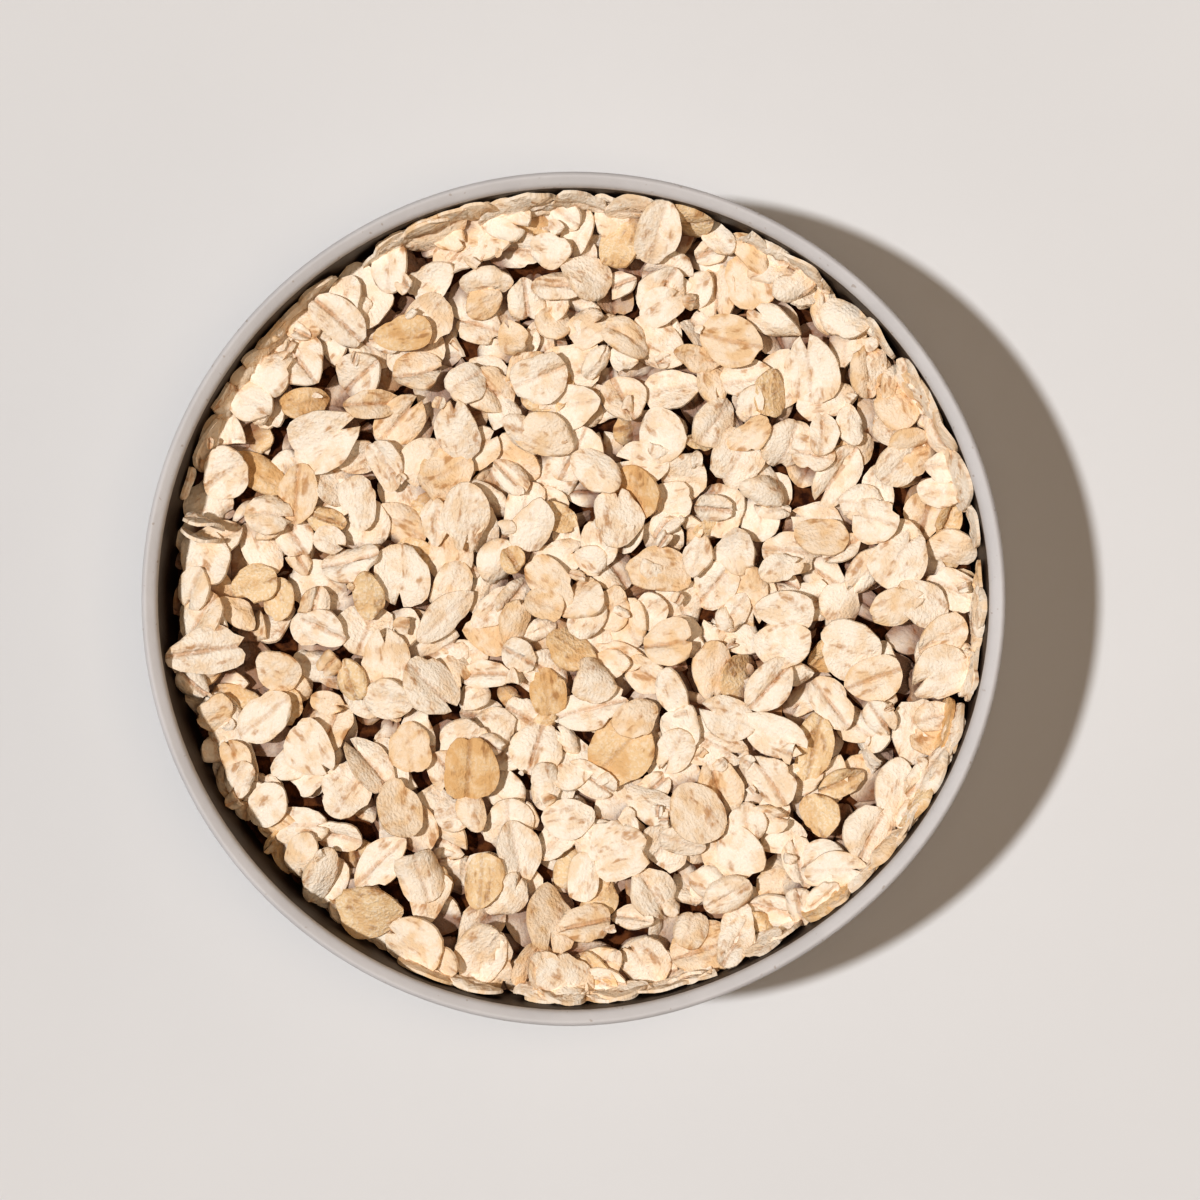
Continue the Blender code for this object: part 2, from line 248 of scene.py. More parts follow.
class Finish:
    """A material for one kind of surface."""

    def __init__(self, name, **numbers):
        self.material = bpy.data.materials.new(name)
        self.material.use_nodes = True
        self.tree = self.material.node_tree
        self.shader = self.tree.nodes["Principled BSDF"]
        for socket, number in numbers.items():
            self.shader.inputs[socket.replace("_", " ")].default_value = number

    def node(self, kind, settings=None, inputs=None, output=0):
        """A node of a kind: its settings first, then the values or links of its sockets."""
        made = self.tree.nodes.new(kind)
        for name, setting in (settings or {}).items():
            setattr(made, name, setting)
        for name, value in (inputs or {}).items():
            if isinstance(value, Wire):
                self.tree.links.new(value.socket, made.inputs[name])
            else:
                made.inputs[name].default_value = value
        return Wire(self, made.outputs[output])

    def mix(self, share, colour, other):
        """A colour that goes over into another one."""
        return self.node("ShaderNodeMix", {"data_type": "RGBA"}, {0: share, 6: colour, 7: other}, 2)

    def place(self, stretch=(1, 1, 1)):
        """Place on the piece, stretched."""
        here = self.node("ShaderNodeTexCoord", output="Object")
        return self.node("ShaderNodeVectorMath", {"operation": "MULTIPLY"}, {0: here, 1: stretch})

    def noise(self, place, size, detail=3.0):
        """Soft random pattern whose spots are about a size, in metres."""
        inputs = {"Vector": place, "Scale": 1 / size, "Detail": detail, "Roughness": 0.55}
        return self.node("ShaderNodeTexNoise", {"noise_dimensions": "3D"}, inputs)

    def bump(self, height, depth):
        """Relief in the surface, with a height of 0 to 1 over a depth in metres."""
        inputs = {"Distance": depth, "Height": height}
        self.feed("Normal", self.node("ShaderNodeBump", {}, inputs, "Normal"))

    def feed(self, socket, wire):
        self.tree.links.new(wire.socket, self.shader.inputs[socket])


PALE_GLAZE = (srgb(194, 192, 193), srgb(202, 200, 201))
# Painted shade: the dark brown of the inner wall below the lip
PAINTED_WALL_SHADE = (srgb(44, 32, 25), srgb(58, 43, 33))
SPECK = srgb(150, 132, 116)
BARE_CLAY = (srgb(170, 140, 112), srgb(204, 178, 150))
CLOUD_SIZE = 0.011
GRAIN_SIZE = 0.0009
SPECK_SIZE = 0.0011
SPECKS_FROM = (0.70, 0.78)       # only where the noise is as high as this
BARE_EDGE_WANDER = 0.0006        # unevenness of the edge of the bare clay
GLAZE_RELIEF = 0.00012


def matt_glaze_and_painted_shade():
    """Pale warm grey glaze with fine dark specks, painted dark brown shade inside, and clay on the foot ring."""
    finish = Finish("matt_glaze_and_painted_shade", IOR=1.5, Specular_IOR_Level=0.35)
    height = finish.node("ShaderNodeSeparateXYZ", {}, {0: finish.place()}, "Z")
    clouds = finish.noise(finish.place(), CLOUD_SIZE)
    grain = finish.noise(finish.place(), GRAIN_SIZE, 4)
    specks = finish.noise(finish.place(), SPECK_SIZE, 1).between(*SPECKS_FROM)
    glaze = finish.mix(clouds.between(0.3, 0.7), *PALE_GLAZE)
    glaze = finish.mix(specks * 0.5, glaze, SPECK)
    clay = finish.mix(grain, *BARE_CLAY)
    level_place = finish.place((1, 1, 0))
    radius = finish.node("ShaderNodeVectorMath", {"operation": "LENGTH"}, {0: level_place}, "Value")
    opening = (RIM_RADIUS - SHOULDER_RADIUS) / (BOWL_HEIGHT - WALL / 2 - SHOULDER_HEIGHT)
    outwards = radius - (height - SHOULDER_HEIGHT).over_zero() * opening - (SHOULDER_RADIUS - CORNER)
    outwards = outwards.over_zero()
    down = (SHOULDER_HEIGHT - height).over_zero()
    from_corner = radius.maths("SQRT", outwards * outwards + down * down)
    # Painted shade: below the lip, the inner wall goes over into dark brown
    inside = from_corner.between(CORNER - WALL / 3, CORNER - 2 * WALL / 3)
    inside = inside * (BOWL_HEIGHT - height).between(*PAINTED_SHADE_BELOW)
    glaze = finish.mix(inside, glaze, finish.mix(clouds, *PAINTED_WALL_SHADE))
    bare = (height + grain * BARE_EDGE_WANDER).between(*BARE_BELOW)
    finish.feed("Base Color", finish.mix(bare, glaze, clay))
    finish.feed("Roughness", (clouds * 0.14 + 0.48 + bare * 0.3).limited())
    finish.bump(clouds * 0.5 + grain * 0.5, GLAZE_RELIEF)
    return finish.material


bowl.data.materials.append(matt_glaze_and_painted_shade())
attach(bowl, "root")
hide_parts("bowl")


# The imported part of the heap: oats that fill the bowl under the loose flakes. It clears the bowl
# by a hair, its top is lumpy, and it shows only as the bottom of the gaps between flakes, painted
# dark brown as the shade there.
OATS_GAP = 0.0003
OATS_RADIUS = 0.0570
HEAP_LEVEL = 0.0350         # middle of the heap
HEAP_EDGE_DROP = 0.0008     # how much lower it lies along the wall
HEAP_RISE = 0.0012          # how much higher it lies towards +X
RISE_ALONG_Y = 0.5          # and the share of that towards +Y
HEAP_TOP = 0.0369           # as high as a flake may stand away from the wall
LAYER_DEPTH = 0.0052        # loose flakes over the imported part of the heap
PACKED_EDGE_HEIGHT = HEAP_LEVEL - HEAP_EDGE_DROP - LAYER_DEPTH
PACKED_RINGS = 26
PACKED_STEPS = 96
PACKED_LUMPS = 0.0006
LUMP_EVENNESS = 0.3
LUMPY_ABOVE = 0.029
SAME_HEIGHT = 0.0001


def heap_level(x, y):
    """Height of the heap's surface, before the last flakes lie on it."""
    share = np.hypot(x, y) / OATS_RADIUS
    return HEAP_LEVEL - HEAP_EDGE_DROP * share ** 4 + HEAP_RISE * (x + RISE_ALONG_Y * y) / OATS_RADIUS


def packed_profile():
    """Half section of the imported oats, from the bowl's floor up its wall and in over their top."""
    edge_radius = inner_wall_radius(PACKED_EDGE_HEIGHT) - OATS_GAP
    yield from inner_profile(OATS_GAP)
    for share in np.linspace(1, 0, PACKED_RINGS):
        yield edge_radius * share, PACKED_EDGE_HEIGHT


packed = turned("packed_oats", packed_profile(), PACKED_STEPS)
packed_edge = inner_wall_radius(HEAP_LEVEL - LAYER_DEPTH) - PACKED_LUMPS
for vertex in packed.data.vertices:
    if vertex.co.z > PACKED_EDGE_HEIGHT - SAME_HEIGHT:
        vertex.co.z = heap_level(vertex.co.x, vertex.co.y) - LAYER_DEPTH
select_vertices(packed, lambda place: place.z > LUMPY_ABOVE and place.xy.length < packed_edge)
bpy.ops.transform.vertex_random(offset=PACKED_LUMPS, uniform=LUMP_EVENNESS, seed=5)
bpy.ops.object.mode_set(mode="OBJECT")
bpy.ops.object.shade_smooth()


# Painted shade: dark browns that stand in for the shade deep in the gaps
PAINTED_GAP_SHADE = (srgb(48, 20, 8), srgb(104, 62, 32))
MEAL_GRAIN_SIZE = 0.0016
MEAL_RELIEF = 0.0008


def packed_painted_shade():
    """Oats deep between the flakes, painted dark brown as the shade there, with paler grains."""
    finish = Finish("packed_oats", Roughness=0.9, Specular_IOR_Level=0.2)
    grains = finish.noise(finish.place(), MEAL_GRAIN_SIZE, 4)
    finish.feed("Base Color", finish.mix(grains.between(0.35, 0.65), *PAINTED_GAP_SHADE))
    finish.bump(grains, MEAL_RELIEF)
    return finish.material


packed.data.materials.append(packed_painted_shade())
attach(packed, "root")
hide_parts("oats")


# The rolled oats: whole grains that were steamed and rolled flat. A flake is an uneven oval with
# two lobes either side of a crease, a frayed and cracked edge and a slight curl. They fell on the
# heap one by one: most lie flat, some stick out, and the last ones lean on the wall.
FLAKE_LENGTH = (0.0045, 0.0082, 0.0114)    # shortest, usual, longest
FLAKE_WIDTH_SHARE = (0.55, 0.92)
FLAKE_THICKNESS = 0.0008
FLAKE_SIDES = 8
FLAKE_CORNERS = (0.82, 1.08)               # unevenness of the outline
FLAKE_COUNT = 965
BITE = 0.0004                              # how far flakes press into each other

# Flakes that stand up out of the heap, with their slopes and turns in degrees
STEEP_SHARE = 0.15
STEEP_SLOPES = (22, 62)
LAST_WALL_FLAKES = 110           # the last to fall, apart from the tall ones, lean on the wall
WALL_SLOPES = (62, 86)
WALL_SIDES = (-88, -60, -30, 0, 30, 60, 88, 115, 148)    # where most lean on it, from +X
WALL_SPREAD = 11
WALL_YAW = 26                    # how far their long sides turn from level
WALL_STAND = (0.0022, 0.0062)    # how far they stand over the level of the heap
WALL_TOP = 0.0414                # and how high the upper edge of a flake may reach there
STAND = (0.0003, 0.0017)         # how far steep ones elsewhere stand over those round them
MOST_OUT = 0.7                   # as much of its height as a standing flake has out of the heap

# Flakes with an end up near the lip: where, turn of the rise, slope, length, width, highest point
TALL_FLAKES = ((168.2, 84, 82, 0.0064, 0.0064, 0.0400), (170.8, 80, 84, 0.0060, 0.0060, 0.0394),
               (188, 0, 12, 0.0120, 0.0064, 0.0382), (77, 12, 22, 0.0112, 0.0072, 0.0402))
CAD_FACETS = 48                  # flats of the solid bowl, which stay clear of the flakes
SEED = 11

# Grid that holds the height of the heap while flakes fall
CELL = 0.0005
HALF_CELLS = 130
EDGE_CELLS = 2
ROW = (np.arange(-HALF_CELLS, HALF_CELLS) + 0.5) * CELL
GRID_X, GRID_Y = np.meshgrid(ROW, ROW)
IN_BOWL = np.hypot(GRID_X, GRID_Y) < OATS_RADIUS
MEAN_REACH = 0.0025        # half the side of the square that a mean height is taken over

# What is tried to find where and how a flake comes to rest
PLACES_TRIED = 5
STEEPEST_REST = 0.45
SLOPE_ROUNDS = 7
SLOPE_STEP_SHARE = 0.6
UNEVEN_REST = 0.11         # spread of the slope at which a flake catches on its neighbours
COMPASS = np.array([(a, b) for a in (-1, 0, 1) for b in (-1, 0, 1)], float)


def cell(place):
    """Row and column of the grid cell that holds a point."""
    return int(place.y // CELL) + HALF_CELLS, int(place.x // CELL) + HALF_CELLS


def outward(angle):
    """Level direction at an angle round the bowl."""
    return Vector((math.cos(angle), math.sin(angle), 0))


class Flake:
    """One rolled oat flake: its size, its outline and how it lies."""

    def __init__(self, rng, lengths=FLAKE_LENGTH, width_share=FLAKE_WIDTH_SHARE):
        self.length = rng.triangular(*lengths)
        self.width = self.length * rng.uniform(*width_share)
        self.corners = rng.uniform(*FLAKE_CORNERS, FLAKE_SIDES)
        self.yaw = rng.uniform(0, math.tau)
        self.slope = np.zeros(2)
        self.middle = Vector((0, 0, HEAP_LEVEL))
        self.shown = 0

    def turn(self):
        """Rotation that tilts the flake to its slope, after turning it by its yaw."""
        up = Vector((-self.slope[0], -self.slope[1], 1))
        tilt = Vector((0, 0, 1)).rotation_difference(up).to_matrix()
        return tilt @ Matrix.Rotation(self.yaw, 3, "Z")

    def edge(self):
        """Points round the flake, as far out as any flake of its size reaches, about its middle."""
        angles = np.linspace(0, math.tau, 2 * FLAKE_SIDES, endpoint=False)
        flat = np.stack([np.cos(angles) * self.length / 2, np.sin(angles) * self.width / 2, 0 * angles])
        return np.array(self.turn()) @ flat * FLAKE_CORNERS[1]

    def below(self, *grids):
        """Cells under the flake, their offsets from its middle, and what the grids hold there."""
        reach = int(self.length / 2 / CELL) + EDGE_CELLS
        row, column = cell(self.middle)
        window = (slice(row - reach, row + reach), slice(column - reach, column + reach))
        offsets = np.stack([GRID_X[window] - self.middle.x, GRID_Y[window] - self.middle.y])
        rise = np.tensordot(self.slope, offsets, 1)
        along, across, _ = np.array(self.turn()).T
        u = (np.tensordot(along[:2], offsets, 1) + rise * along[2]) / (self.length / 2)
        v = (np.tensordot(across[:2], offsets, 1) + rise * across[2]) / (self.width / 2)
        under = u ** 2 + v ** 2 < 1
        cells = np.argwhere(under) + (row - reach, column - reach)
        return cells.T, offsets[:, under], [grid[window][under] for grid in grids]

    def clear_wall(self, touch=False):
        """Moves the flake inwards until it clears the wall, or outwards if it is to touch it."""
        edge = self.edge()
        limit = inner_wall_radius(self.middle.z + edge[2]) * math.cos(math.pi / CAD_FACETS) - OATS_GAP
        over = (np.hypot(edge[0] + self.middle.x, edge[1] + self.middle.y) - limit).max()
        over += FLAKE_THICKNESS / 2 * self.turn().col[2].xy.length
        if over > 0 or touch:
            self.middle.xy *= 1 - over / self.middle.xy.length

    def drop(self, rng, top):
        """Lowers the flake onto the heap, near the slope that lets its middle come lowest."""
        _, offsets, (ground,) = self.below(top)
        step = STEEPEST_REST
        for _ in range(SLOPE_ROUNDS):
            tries = np.clip(self.slope + step * COMPASS, -STEEPEST_REST, STEEPEST_REST)
            heights = (ground - tries @ offsets).max(axis=1)
            self.slope = tries[heights.argmin()]
            step *= SLOPE_STEP_SHARE
        self.slope = self.slope + rng.normal(0, UNEVEN_REST, 2)
        self.middle.z = (ground - self.slope @ offsets).max() + FLAKE_THICKNESS / 2 - BITE
        self.sink()

    def sink(self, highest=HEAP_TOP):
        """Presses the flake into the heap as far as it stands out too high."""
        self.middle.z = min(self.middle.z, highest - self.edge()[2].max())

    def lean(self, angle, degrees):
        """Tilts the flake so that it rises towards an angle round the bowl."""
        self.slope = math.tan(math.radians(degrees)) * np.array(outward(angle).xy)
        self.clear_wall()

    def stand(self, ground, height):
        """Sets a leaning flake into the heap, with a height out of it that it has room for."""
        rise = self.edge()[2].max()
        self.middle.z = ground + min(height, MOST_OUT * 2 * rise) - rise

    def settle(self, top, owner, number):
        """Adds the flake to the heights of the heap."""
        (rows, columns), offsets, _ = self.below()
        thick = FLAKE_THICKNESS / 2 * math.sqrt(1 + self.slope @ self.slope)
        surface = self.middle.z + self.slope @ offsets + thick
        higher = surface > top[rows, columns]
        top[rows[higher], columns[higher]] = surface[higher]
        owner[rows[higher], columns[higher]] = number


def random_place(rng):
    """A place anywhere in the round of the bowl."""
    return OATS_RADIUS * math.sqrt(rng.random()) * outward(rng.uniform(0, math.tau))


def mean_height(top, place):
    """Mean height of the heap round a point."""
    row, column = cell(place)
    cells = int(MEAN_REACH / CELL)
    window = (slice(row - cells, row + cells), slice(column - cells, column + cells))
    return top[window][IN_BOWL[window]].mean()


def lowest_place(rng, top):
    """The place, of a few random ones, where the heap is furthest below its level."""
    places = [random_place(rng) for _ in range(PLACES_TRIED)]
    return min(places, key=lambda place: mean_height(top, place) - heap_level(place.x, place.y))


def wall_flake(rng):
    """A flake that leans on the wall."""
    flake = Flake(rng)
    angle = math.radians(rng.normal(rng.choice(WALL_SIDES), WALL_SPREAD))
    flake.middle += OATS_RADIUS * outward(angle)
    flake.yaw = angle + math.radians(90 + rng.uniform(-WALL_YAW, WALL_YAW))
    flake.lean(angle, rng.uniform(*WALL_SLOPES))
    flake.stand(heap_level(flake.middle.x, flake.middle.y), rng.uniform(*WALL_STAND))
    flake.sink(WALL_TOP)
    flake.clear_wall(touch=True)
    return flake


def steep_flake(rng, top):
    """A flake that sticks out of the heap."""
    flake = Flake(rng)
    flake.middle += lowest_place(rng, top)
    flake.lean(rng.uniform(0, math.tau), rng.uniform(*STEEP_SLOPES))
    flake.stand(mean_height(top, flake.middle), rng.uniform(*STAND))
    flake.sink()
    flake.clear_wall()
    return flake


def tall_flake(rng, place, rise_turn, slope, length, width, height):
    """A large flake that lies with its end up at the lip."""
    flake = Flake(rng)
    flake.length = length
    flake.width = width
    flake.yaw = math.radians(place)
    flake.middle += OATS_RADIUS * outward(flake.yaw)
    flake.lean(math.radians(place + rise_turn), slope)
    flake.middle.z = height - flake.edge()[2].max()
    flake.clear_wall(touch=True)
    return flake


def flat_flake(rng, top):
    """A flake that falls flat on the heap."""
    flake = Flake(rng)
    flake.middle += lowest_place(rng, top)
    flake.clear_wall()
    flake.drop(rng, top)
    flake.clear_wall()
    return flake


def fallen_flakes():
    """The flakes of the heap in the order in which they fall, and the heights of its surface."""
    rng = np.random.default_rng(SEED)
    top = heap_level(GRID_X, GRID_Y) - LAYER_DEPTH
    owner = np.full(top.shape, -1)
    flakes = []
    for number in range(FLAKE_COUNT):
        left = FLAKE_COUNT - number
        if left <= len(TALL_FLAKES):
            flake = tall_flake(rng, *TALL_FLAKES[-left])
        elif left <= len(TALL_FLAKES) + LAST_WALL_FLAKES:
            flake = wall_flake(rng)
        elif rng.random() < STEEP_SHARE:
            flake = steep_flake(rng, top)
        else:
            flake = flat_flake(rng, top)
        flake.settle(top, owner, number)
        flakes.append(flake)
    areas = np.bincount(owner[owner >= 0], minlength=len(flakes))
    for flake, area in zip(flakes, areas):
        flake.shown = area
    return flakes, top


# The shape that every flake is pressed from: a disc with a grid of faces on top, whose lines
# crowd along the crease, a band round its edge, and a plain underside.
ALONG = 8
ACROSS = 6
CROWDING = 1.4


def flake_blank():
    """Places, faces and side of a flat round blank, 2 across and 2 thick."""
    deselect()
    bpy.ops.mesh.primitive_grid_add(x_subdivisions=ALONG, y_subdivisions=ACROSS, size=2)
    blank = bpy.context.object
    for vertex in blank.data.vertices:
        x, y = vertex.co.x, math.copysign(abs(vertex.co.y) ** CROWDING, vertex.co.y)
        vertex.co.xy = x * math.sqrt(1 - y * y / 2), y * math.sqrt(1 - x * x / 2)
    bpy.ops.object.mode_set(mode="EDIT")
    bpy.ops.mesh.select_all(action="SELECT")
    bpy.ops.mesh.extrude_region_move(TRANSFORM_OT_translate={"value": (0, 0, 2)})
    bpy.ops.mesh.select_all(action="SELECT")
    bpy.ops.transform.translate(value=(0, 0, -1))
    bpy.ops.mesh.normals_make_consistent(inside=False)
    bpy.ops.mesh.select_mode(type="FACE")
    bpy.ops.mesh.select_all(action="DESELECT")
    bpy.ops.object.mode_set(mode="OBJECT")
    for face in blank.data.polygons:
        face.select = face.normal.z < -0.5
    bpy.ops.object.mode_set(mode="EDIT")
    bpy.ops.mesh.dissolve_faces()
    bpy.ops.mesh.poke()
    bpy.ops.object.mode_set(mode="OBJECT")
    places = np.array([vertex.co for vertex in blank.data.vertices])
    faces = np.array([(*face.vertices, -1)[:4] for face in blank.data.polygons])
    bpy.data.objects.remove(blank)
    return places, faces


def smoothed(heights):
    """Heights of the heap, each the mean of those in a square round it."""
    reach = range(-int(MEAN_REACH / CELL), int(MEAN_REACH / CELL) + 1)
    shifts = [(rows, columns) for rows in reach for columns in reach]
    total = sum(np.roll(np.where(IN_BOWL, heights, 0), shift, (0, 1)) for shift in shifts)
    count = sum(np.roll(IN_BOWL.astype(int), shift, (0, 1)) for shift in shifts)
    return total / np.maximum(count, 1)


# What pressing does to a blank: shares of its reach, of its half length or of its thickness
UNEVEN_REACH = (-0.13, 0.05)
UNEVEN_POINTS = 6
FRAY = (-0.05, 0.03)
FRAY_POINTS = 20
NOTCHES = 0.8                   # cracks in the edge of a flake, on average
NOTCH_DEPTH = (0.08, 0.24)
NOTCH_WIDTH = 0.3
SPLIT_FROM = (0.45, 0.75)
BROKEN_AT = (0.1, 0.6)
BROKEN_UNEVEN = 0.08
BROKEN_POINTS = 5
GROOVES = (0.0, 0.0, 0.2, 0.4, 0.6, 0.9, 1.2)    # depths of the crease, one for each flake
CREASE_WIDTH = 0.2
CREASE_FADE = 0.5               # how much shallower it is at the ends
HALF_THICK = 0.30
DOME = (0.2, 0.8)
BELLY = 0.1
LUMPS = 0.17
LUMPS_WITHIN = 0.98             # none of them on the edge
BANANA = 0.10                   # bend to one side, in the plane of the flake
BANANA_LEVEL = 0.4              # square of how far out it crosses its middle
CURL = 0.55                     # bends up or down, along and across the flake
CURL_LEVEL = 0.3                # square of how far out they cross their middle
TWIST = 0.45
WAVY_EDGE = (-0.3, 0.3)
WAVY_POINTS = 9
FULL_THICKNESS_FROM = 0.006     # length of the shortest flake that isn't thinner than others

BLANK, BLANK_FACES = flake_blank()
BLANK_U, BLANK_V, BLANK_SIDE = BLANK.T
BLANK_R = np.minimum(np.hypot(BLANK_U, BLANK_V), 1)
BLANK_ANGLE = np.arctan2(BLANK_V, BLANK_U) % math.tau
ON_CREASE = abs(BLANK_V) < 0.01


def round_the_edge(rng, low, high, points):
    """Random values round a flake, as many as points, gone over smoothly at each vertex's angle."""
    values = rng.uniform(low, high, points)
    return np.interp(BLANK_ANGLE / math.tau * points, np.arange(points + 1), [*values, values[0]])


def pressed(flake, rng, kind, groove):
    """The flake's vertices: frayed, creased, domed and curled, then laid where it fell."""
    u, v = BLANK_U.copy(), BLANK_V.copy()
    reach = np.interp(BLANK_ANGLE / math.tau * FLAKE_SIDES, np.arange(FLAKE_SIDES + 1),
                      [*flake.corners, flake.corners[0]])
    reach *= 1 + BLANK_R ** 2 * round_the_edge(rng, *UNEVEN_REACH, UNEVEN_POINTS)
    rim = BLANK_R ** 4
    reach *= 1 + rim * round_the_edge(rng, *FRAY, FRAY_POINTS)
    for _ in range(rng.poisson(NOTCHES)):
        away = abs((BLANK_ANGLE - rng.uniform(0, math.tau) + math.pi) % math.tau - math.pi)
        reach *= 1 - rng.uniform(*NOTCH_DEPTH) * rim * np.clip(1 - away / NOTCH_WIDTH, 0, 1)
    if kind == "split":
        u = np.where(ON_CREASE & (u > 0), u * rng.uniform(*SPLIT_FROM), u)
    if kind == "broken":
        cut = rng.uniform(*BROKEN_AT)
        uneven = rng.uniform(-1, 1, BROKEN_POINTS)
        cut = cut + BROKEN_UNEVEN * np.interp(v, np.linspace(-1, 1, BROKEN_POINTS), uneven)
        end = np.sqrt(np.clip(1 - v * v, 0.0004, 1))
        u = np.where(u > 0, u * np.clip(cut / end, 0, 1), u)
    v = v + rng.normal(0, BANANA) * (u * u - BANANA_LEVEL)
    lobes = 1 - BLANK_R ** 2
    crease = groove * np.exp(-(BLANK_V / CREASE_WIDTH) ** 2) * (1 - CREASE_FADE * BLANK_R ** 2)
    lumps = rng.normal(0, LUMPS, len(u)) * (BLANK_R < LUMPS_WITHIN)
    upper = HALF_THICK + rng.uniform(*DOME) * lobes - crease + lumps
    lift = np.where(BLANK_SIDE > 0, upper, -HALF_THICK - BELLY * lobes)
    lift += rng.normal(0, CURL) * (u * u - CURL_LEVEL) + rng.normal(0, CURL) * (v * v - CURL_LEVEL)
    twist = rng.normal(0, TWIST) * u * v
    lift += twist + BLANK_R ** 2 * round_the_edge(rng, *WAVY_EDGE, WAVY_POINTS)
    thick = FLAKE_THICKNESS * min(1, flake.length / FULL_THICKNESS_FROM)
    local = np.stack([u * reach * flake.length / 2, v * reach * flake.width / 2, lift * thick])
    return (np.array(flake.turn()) @ local).T + np.array(flake.middle), local


NEAR_WALL = 0.0012    # a flake as close to the wall as this slides out to it
TOUCH = 0.00005       # and stops as close as this


def slid_to_wall(vertices):
    """The vertices of a flake, slid outwards until it touches the wall if it lies close to it."""
    slack = NEAR_WALL
    for x, y, z in vertices:
        radius = math.hypot(x, y)
        if radius > OATS_RADIUS - 3 * NEAR_WALL:
            found, wall_place, *_ = bowl.ray_cast(Vector((0, 0, z)), Vector((x, y, 0)))
            if found:
                slack = min(slack, wall_place.xy.length - radius - TOUCH)
    if slack < NEAR_WALL:
        vertices[:, :2] *= 1 + slack / np.hypot(*vertices[:, :2].mean(axis=0))
    return vertices


CARRIED = ("tone", "seed", "groove", "rim", "depth")    # numbers that each vertex carries
SMOOTH_BELOW = 55    # degrees between two faces that are shaded as one surface


def joined(name, flakes, rng, kind, finish):
    """All flakes of one kind as one piece, with a map along and across each flake."""
    places, maps, tones, seeds, grooves, rims, depths = [], [], [], [], [], [], []
    for flake in flakes:
        groove = rng.choice(GROOVES)
        vertices, local = pressed(flake, rng, kind, groove)
        places.append(slid_to_wall(vertices))
        maps.append(local[:2].T)
        tones.append(np.full(len(vertices), rng.random()))
        seeds.append(np.full(len(vertices), rng.random()))
        grooves.append(np.full(len(vertices), groove))
        rims.append(BLANK_R)
        columns, rows = (vertices[:, :2] // CELL).astype(int).T + HALF_CELLS
        depths.append(mean_top[rows, columns] - vertices[:, 2])
    size = len(BLANK)
    faces = [tuple(i for i in np.where(row < 0, -1, row + number * size) if i >= 0)
             for number in range(len(flakes)) for row in BLANK_FACES]
    mesh = bpy.data.meshes.new(name)
    mesh.from_pydata(np.concatenate(places).tolist(), [], faces)
    corner = np.empty(len(mesh.loops), int)
    mesh.loops.foreach_get("vertex_index", corner)
    flake_map = mesh.uv_layers.new(name="flake_map")
    flake_map.uv.foreach_set("vector", np.concatenate(maps)[corner].ravel())
    for label, values in zip(CARRIED, (tones, seeds, grooves, rims, depths)):
        mesh.attributes.new(label, "FLOAT", "POINT").data.foreach_set("value", np.concatenate(values))
    mesh.materials.append(finish)
    piece = bpy.data.objects.new(name, mesh)
    bpy.context.scene.collection.objects.link(piece)
    deselect()
    piece.select_set(True)
    bpy.context.view_layer.objects.active = piece
    bpy.ops.object.shade_smooth_by_angle(angle=math.radians(SMOOTH_BELOW))
    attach(piece, "root")
    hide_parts("oats")


# Cream, tan and bran, as most flakes have them and as those have that show their bran side
OAT_COLOURS = (srgb(249, 237, 220), srgb(236, 203, 162), srgb(180, 126, 74))
BRAN_SIDE_COLOURS = (srgb(240, 214, 174), srgb(222, 180, 128), srgb(160, 112, 68))
BRAN_SIDE_TAN = 0.08
FLOUR = srgb(253, 247, 238)
# Painted shade: flakes turn dark brown the deeper they lie below the heap's mean height
DEEP_SHADE = srgb(110, 46, 12)
DEEP = (0.0016, 0.0034)              # how far below the mean height the shade sets in
PATCH_SIZE = 0.0026
WRINKLE_SIZE = 0.0011
FLOUR_SIZE = 0.0004
ALONG_GRAIN = (0.4, 1, 1)            # wrinkles are longer along the flake
CREASE_LINE = (0.0008, 0.0003)
CREASE_WANDER = 0.0006
OAT_RELIEF = 0.0004


def oat_finish(name, pale, tan, bran, tan_share):
    """A flake's colours: floury and tan patches, bran along the crease, fibres along the grain, and painted
    shade at its edge and where it lies deep.
    """
    finish = Finish(name, Specular_IOR_Level=0.25)
    here = finish.node("ShaderNodeUVMap", {"uv_map": "flake_map"})
    tone, seed, groove, rim, depth = (
        finish.node("ShaderNodeAttribute", {"attribute_name": label}, output="Fac")
        for label in CARRIED)
    own = finish.node("ShaderNodeCombineXYZ", {}, {"Z": seed})
    place = finish.node("ShaderNodeVectorMath", {"operation": "ADD"}, {0: here, 1: own})
    along = finish.node("ShaderNodeVectorMath", {"operation": "MULTIPLY"}, {0: place, 1: ALONG_GRAIN})
    across = finish.node("ShaderNodeSeparateXYZ", {}, {0: here}, "Y")
    patches = finish.noise(place, PATCH_SIZE, 2)
    wrinkles = finish.noise(along, WRINKLE_SIZE, 2)
    flour = finish.noise(place, FLOUR_SIZE, 1)
    crease = (abs(across) + wrinkles * CREASE_WANDER).between(*CREASE_LINE)
    crease = (crease * groove).limited()
    # Random tan for each flake, with painted shade towards its edge
    tan_and_edge_shade = tone.between(0.6, 1.0) * 0.5 + rim.between(0.8, 1.0) * 0.2 + tan_share
    share = (patches.between(0.40, 0.68) * 0.6 + tan_and_edge_shade).limited()
    colour = finish.mix(share, pale, tan)
    colour = finish.mix(crease * 0.55, colour, bran)
    streaks = wrinkles.between(0.54, 0.68) * patches.between(0.40, 0.6) * 0.7
    colour = finish.mix(streaks, colour, bran)
    white = flour.between(0.45, 0.65) * (1 - share) * 0.4
    colour = finish.mix(white, colour, FLOUR)
    # painted shade on the parts of flakes that lie deep in the heap
    colour = finish.mix(depth.between(*DEEP) * 0.7, colour, DEEP_SHADE)
    finish.feed("Base Color", colour)
    finish.feed("Roughness", flour * 0.2 + 0.7)
    finish.bump(wrinkles * 0.5 + flour * 0.5 - crease * 0.3, OAT_RELIEF)
    return finish.material


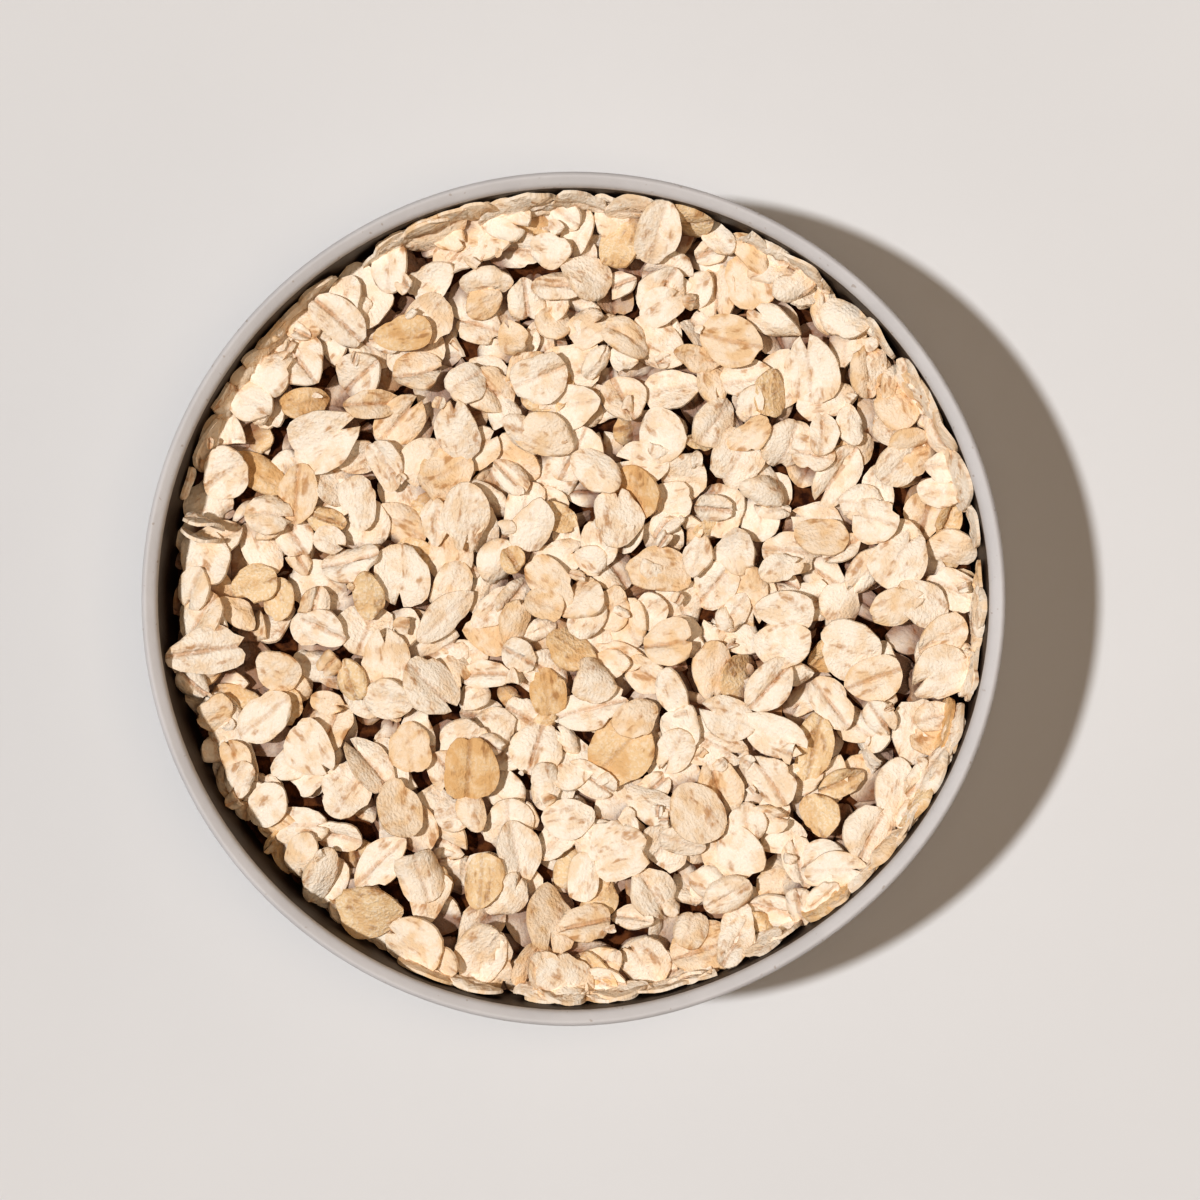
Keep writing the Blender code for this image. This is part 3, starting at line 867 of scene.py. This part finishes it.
# How many of the flakes are of which kind. Large ones that lie on top are never broken.
BRAN_SHARE = 0.07
SPLIT_SHARE = 0.25
BROKEN_SHARE = 0.23
CELLS_OF_LARGE = 60    # cells of the grid where a large flake on top is the highest
fallen, heap_top = fallen_flakes()
mean_top = smoothed(heap_top)
kind_draws = np.random.default_rng(SEED + 1)
shape_draws = np.random.default_rng(SEED + 2)
kinds = {"whole": [], "split": [], "broken": [], "bran": []}
for flake in fallen:
    chance = kind_draws.random()
    if flake in fallen[-len(TALL_FLAKES):]:
        kinds["whole"].append(flake)
    elif chance < BRAN_SHARE:
        kinds["bran"].append(flake)
    elif chance < BRAN_SHARE + SPLIT_SHARE:
        kinds["split"].append(flake)
    elif chance < BRAN_SHARE + SPLIT_SHARE + BROKEN_SHARE and flake.shown < CELLS_OF_LARGE:
        kinds["broken"].append(flake)
    else:
        kinds["whole"].append(flake)
oat = oat_finish("rolled_oat", *OAT_COLOURS, 0)
for kind in ("whole", "split", "broken"):
    joined(f"{kind}_flakes", kinds[kind], shape_draws, kind, oat)
bran_oat = oat_finish("bran_side_oat", *BRAN_SIDE_COLOURS, BRAN_SIDE_TAN)
joined("bran_flakes", kinds["bran"], shape_draws, "whole", bran_oat)


# Crumbs and slivers: bits that broke off the flakes and lie in and on the heap, each pressed like
# a broken flake. They fall after the flakes, so that no flake lies differently for them.
CRUMB_COUNT = 60
CRUMB_LENGTH = (0.0014, 0.0024, 0.0048)
CRUMB_WIDTH_SHARE = (0.35, 0.9)


def crumb(rng, top):
    """A crumb that falls on the heap."""
    flake = Flake(rng, CRUMB_LENGTH, CRUMB_WIDTH_SHARE)
    flake.middle += random_place(rng)
    flake.clear_wall()
    flake.drop(rng, top)
    flake.clear_wall()
    return flake


crumb_draws = np.random.default_rng(SEED + 3)
crumbs = [crumb(crumb_draws, heap_top) for _ in range(CRUMB_COUNT)]
joined("oat_crumbs", crumbs, crumb_draws, "broken", oat)


# The studio: a plain pale floor, a key light from the left and above, as in the photograph, a weak
# warm fill from above and from the right, and a camera that looks straight down.
FLOOR_SIZE = 4.0
FLOOR_COLOURS = (srgb(213, 214, 216), srgb(217, 218, 220))
FLOOR_CLOUD_SIZE = 0.05
LIGHT_DISTANCE = 1.5
KEY_WIDTH = 2.5             # degrees across, as seen from the bowl
CAMERA_PLACE = (0.0037, -0.00015, 0.667)


def floor_finish():
    """Pale plaster, nearly even."""
    finish = Finish("pale_floor", Roughness=0.8, Specular_IOR_Level=0.1)
    clouds = finish.noise(finish.place(), FLOOR_CLOUD_SIZE)
    finish.feed("Base Color", finish.mix(clouds, *FLOOR_COLOURS))
    return finish.material


deselect()
bpy.ops.mesh.primitive_plane_add(size=FLOOR_SIZE)
floor = bpy.context.object
floor.name = "floor"
floor.data.materials.append(floor_finish())
floor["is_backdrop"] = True


def light(name, kind, energy, azimuth, elevation, **settings):
    """A light that shines on the bowl from an azimuth, counted from +X, and an elevation."""
    lamp = bpy.data.lights.new(name, kind)
    lamp.energy = energy
    for setting, value in settings.items():
        setattr(lamp, setting, value)
    made = bpy.data.objects.new(name, lamp)
    rise = math.radians(elevation)
    towards = math.cos(rise) * outward(math.radians(azimuth)) + Vector((0, 0, math.sin(rise)))
    made.location = LIGHT_DISTANCE * towards
    made.rotation_euler = made.location.to_track_quat("Z", "Y").to_euler()
    bpy.context.scene.collection.objects.link(made)


light("key", "SUN", energy=3.12, azimuth=180, elevation=66.7, angle=math.radians(KEY_WIDTH))
light("top_fill", "AREA", energy=5.4, azimuth=0, elevation=85, size=0.5, color=(1, 0.78, 0.57))
light("side_fill", "AREA", energy=3.7, azimuth=0, elevation=35, size=1.2, color=(1, 0.85, 0.70))

world = bpy.data.worlds.new("studio")
world.use_nodes = True
background = world.node_tree.nodes["Background"]
background.inputs["Color"].default_value = (1, 0.60, 0.30, 1)
background.inputs["Strength"].default_value = 0.055
bpy.context.scene.world = world
view = bpy.context.scene.view_settings
view.view_transform = "Standard"
view.look = "Medium High Contrast"
view.exposure = -0.46

lens = bpy.data.cameras.new("camera")
lens.lens = 134.5
lens.sensor_width = 36
camera = bpy.data.objects.new("camera", lens)
camera.location = CAMERA_PLACE
bpy.context.scene.collection.objects.link(camera)
bpy.context.scene.camera = camera

sizes = {name: [list(corner) for corner in box] for name, box in (("cad", cad_box), ("visual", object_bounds()))}
